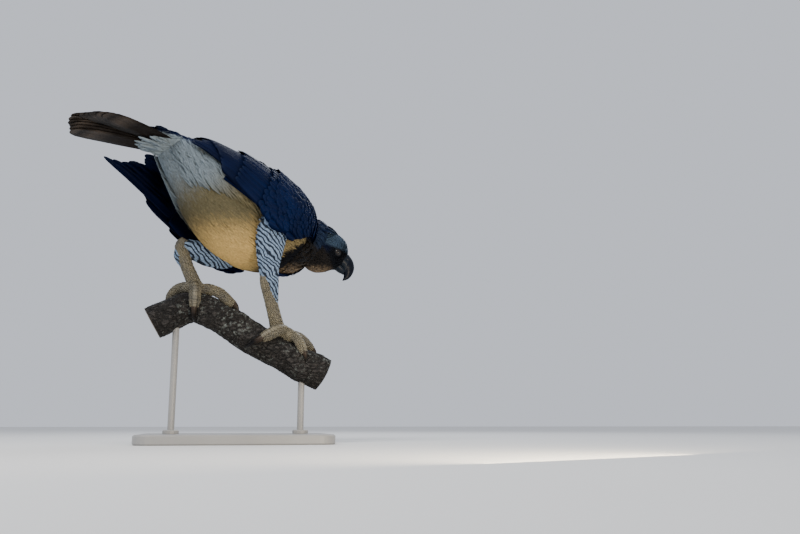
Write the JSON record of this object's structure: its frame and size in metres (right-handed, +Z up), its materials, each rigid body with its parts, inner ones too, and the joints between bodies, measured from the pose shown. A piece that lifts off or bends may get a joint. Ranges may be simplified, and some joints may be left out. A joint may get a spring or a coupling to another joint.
{
  "type": "harpy eagle",
  "caption": "Life-size still model of a crested forest eagle leaning forward on a cut length of branch, wings folded and tail level, held by a plain display stand",
  "frame": {"origin": "the middle of the underside of the stand's base, where the model stands on a floor", "axes": "+X the way the bird looks, +Y the bird's left side, -Y its right side, the side nearer the viewer, +Z up"},
  "size_m": [0.6503, 0.5619, 0.744],
  "materials": {
    "plumage_slate": "slate black feathers",
    "plumage_white": "white feathers",
    "plumage_grey": "pale grey feathers",
    "leg_skin": "scaly yellow skin",
    "horn": "black horn",
    "eye": "wet dark eye",
    "bark": "rough bark with lichen",
    "stand_paint": "satin black paint"
  },
  "bodies": {
    "root": {"torso": "plumage_white", "neck": "plumage_slate", "head": "plumage_grey", "upper_bill": "horn", "lower_bill": "horn", "eye_left": "eye", "crest_left": "plumage_slate", "eye_right": "eye", "crest_right": "plumage_slate", "tail": "plumage_slate", "wing_left": "plumage_slate", "wing_right": "plumage_slate", "thigh_left": "plumage_white", "tarsus_left": "leg_skin", "foot_left": "leg_skin", "toe_hind_left": "leg_skin", "claw_hind_left": "horn", "toe_inner_left": "leg_skin", "claw_inner_left": "horn", "toe_middle_left": "leg_skin", "claw_middle_left": "horn", "toe_outer_left": "leg_skin", "claw_outer_left": "horn", "thigh_right": "plumage_white", "tarsus_right": "leg_skin", "foot_right": "leg_skin", "toe_hind_right": "leg_skin", "claw_hind_right": "horn", "toe_inner_right": "leg_skin", "claw_inner_right": "horn", "toe_middle_right": "leg_skin", "claw_middle_right": "horn", "toe_outer_right": "leg_skin", "claw_outer_right": "horn", "perch_branch": "bark", "stand_base": "stand_paint", "stand_rod_left": "stand_paint", "stand_rod_right": "stand_paint"}
  },
  "joints": []
}
